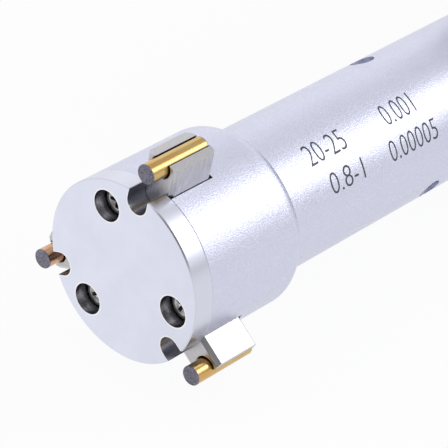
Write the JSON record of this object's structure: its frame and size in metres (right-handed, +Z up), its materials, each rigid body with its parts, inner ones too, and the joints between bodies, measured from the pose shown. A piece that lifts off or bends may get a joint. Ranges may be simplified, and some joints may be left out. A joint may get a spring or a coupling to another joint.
{
  "type": "inside micrometer",
  "caption": "Digital three-point inside micrometer with three coupled gold-tipped anvils, body tube, display housing, thimble and ratchet stop.",
  "frame": {"origin": "centre of the flat nose face, on the measuring axis", "axes": "+X runs back along the instrument, +Z is up, out of the display, +Y is to the left seen from the nose towards the thimble"},
  "size_m": [0.167, 0.03, 0.0299],
  "materials": {
    "satin_chrome": "fine blasted satin",
    "lapped_steel": "finely lapped",
    "ground_steel": "ground",
    "gold_carbide": "polished gold coating",
    "screw_steel": "plated",
    "inner_steel": "turned",
    "spring_steel": "bright spring steel",
    "thimble_chrome": "satin",
    "housing_plastic": "fine moulded grain",
    "cap_plastic": "fine moulded grain",
    "holder_plastic": "moulded",
    "button_rubber": "matt",
    "window_glass": "clear",
    "lcd_glass": "reflective display glass",
    "board_laminate": "lacquered laminate",
    "switch_metal": "bright"
  },
  "bodies": {
    "instrument_body": {"head_body": "satin_chrome", "body_tube": "satin_chrome", "front_cap": "lapped_steel", "cap_screws": "screw_steel", "housing_screws": "screw_steel", "board_screws": "screw_steel", "spring_rivets": "screw_steel", "guide_bush": "inner_steel", "spindle_nut": "inner_steel", "adjusting_nut": "inner_steel", "front_socket": "inner_steel", "return_spring_1": "spring_steel", "return_spring_2": "spring_steel", "return_spring_3": "spring_steel", "cone_spring": "spring_steel", "spindle_sleeve": "thimble_chrome", "housing_top": "housing_plastic", "housing_back": "housing_plastic", "battery_cap": "cap_plastic", "lcd_holder": "holder_plastic", "display_window": "window_glass", "lcd_panel": "lcd_glass", "circuit_board": "board_laminate", "encoder_stator": "board_laminate", "dome_switches": "switch_metal", "battery": "switch_metal"},
    "cone": {"measuring_cone": "inner_steel", "push_rod": "inner_steel", "thrust_ball": "inner_steel"},
    "thimble": {"spindle": "inner_steel", "thimble": "thimble_chrome", "ratchet_ring": "inner_steel", "ratchet_screw": "screw_steel"},
    "ratchet_knob": {"ratchet_knob": "thimble_chrome", "ratchet_spring": "spring_steel", "ratchet_cap": "thimble_chrome"},
    "encoder_rotor": {"encoder_rotor": "board_laminate"},
    "anvil_1": {"anvil_1": "ground_steel", "contact_pin_1": "gold_carbide"},
    "anvil_2": {"anvil_2": "ground_steel", "contact_pin_2": "gold_carbide"},
    "anvil_3": {"anvil_3": "ground_steel", "contact_pin_3": "gold_carbide"},
    "zero_button": {"zero_button": "button_rubber"},
    "unit_button": {"unit_button": "button_rubber"},
    "hold_button": {"hold_button": "button_rubber"}
  },
  "joints": [
    {"name": "anvil_1_slide", "type": "slide", "parent": "instrument_body", "child": "anvil_1", "axis": [0, -0.2487, 0.9686], "range_m": [-0.0025, 0], "deforming": ["return_spring_1"]},
    {"name": "anvil_2_slide", "type": "slide", "parent": "instrument_body", "child": "anvil_2", "axis": [0, 0.9632, -0.2689], "range_m": [-0.0025, 0], "deforming": ["return_spring_2"]},
    {"name": "anvil_3_slide", "type": "slide", "parent": "instrument_body", "child": "anvil_3", "axis": [0, -0.7145, -0.6997], "range_m": [-0.0025, 0], "deforming": ["return_spring_3"]},
    {"name": "cone_slide", "type": "slide", "parent": "instrument_body", "child": "cone", "axis": [1, 0, 0], "range_m": [0, 0.005], "deforming": ["cone_spring"]},
    {"name": "thimble_turn", "type": "hinge", "parent": "cone", "child": "thimble", "pos_m": [0.135, 0, 0], "axis": [1, 0, 0], "range_deg": [0, 3600]},
    {"name": "rotor_turn", "type": "hinge", "parent": "instrument_body", "child": "encoder_rotor", "pos_m": [0.083, 0, 0], "axis": [1, 0, 0], "range_deg": [0, 3600]},
    {"name": "ratchet_turn", "type": "hinge", "parent": "thimble", "child": "ratchet_knob", "pos_m": [0.16, 0, 0], "axis": [1, 0, 0], "continuous": true},
    {"name": "zero_press", "type": "slide", "parent": "instrument_body", "child": "zero_button", "axis": [0, 0, 1], "range_m": [-0.0005, 0], "stiffness_N_per_m": 1000},
    {"name": "unit_press", "type": "slide", "parent": "instrument_body", "child": "unit_button", "axis": [0, 0, 1], "range_m": [-0.0005, 0], "stiffness_N_per_m": 1000},
    {"name": "hold_press", "type": "slide", "parent": "instrument_body", "child": "hold_button", "axis": [0, 0, 1], "range_m": [-0.0005, 0], "stiffness_N_per_m": 1000}
  ],
  "couplings": [
    {"joint": "anvil_1_slide", "follows": "cone_slide", "ratio": -0.5},
    {"joint": "anvil_2_slide", "follows": "cone_slide", "ratio": -0.5},
    {"joint": "anvil_3_slide", "follows": "cone_slide", "ratio": -0.5},
    {"joint": "thimble_turn", "follows": "cone_slide", "rad_per_m": 12566},
    {"joint": "rotor_turn", "follows": "cone_slide", "rad_per_m": 12566}
  ]
}
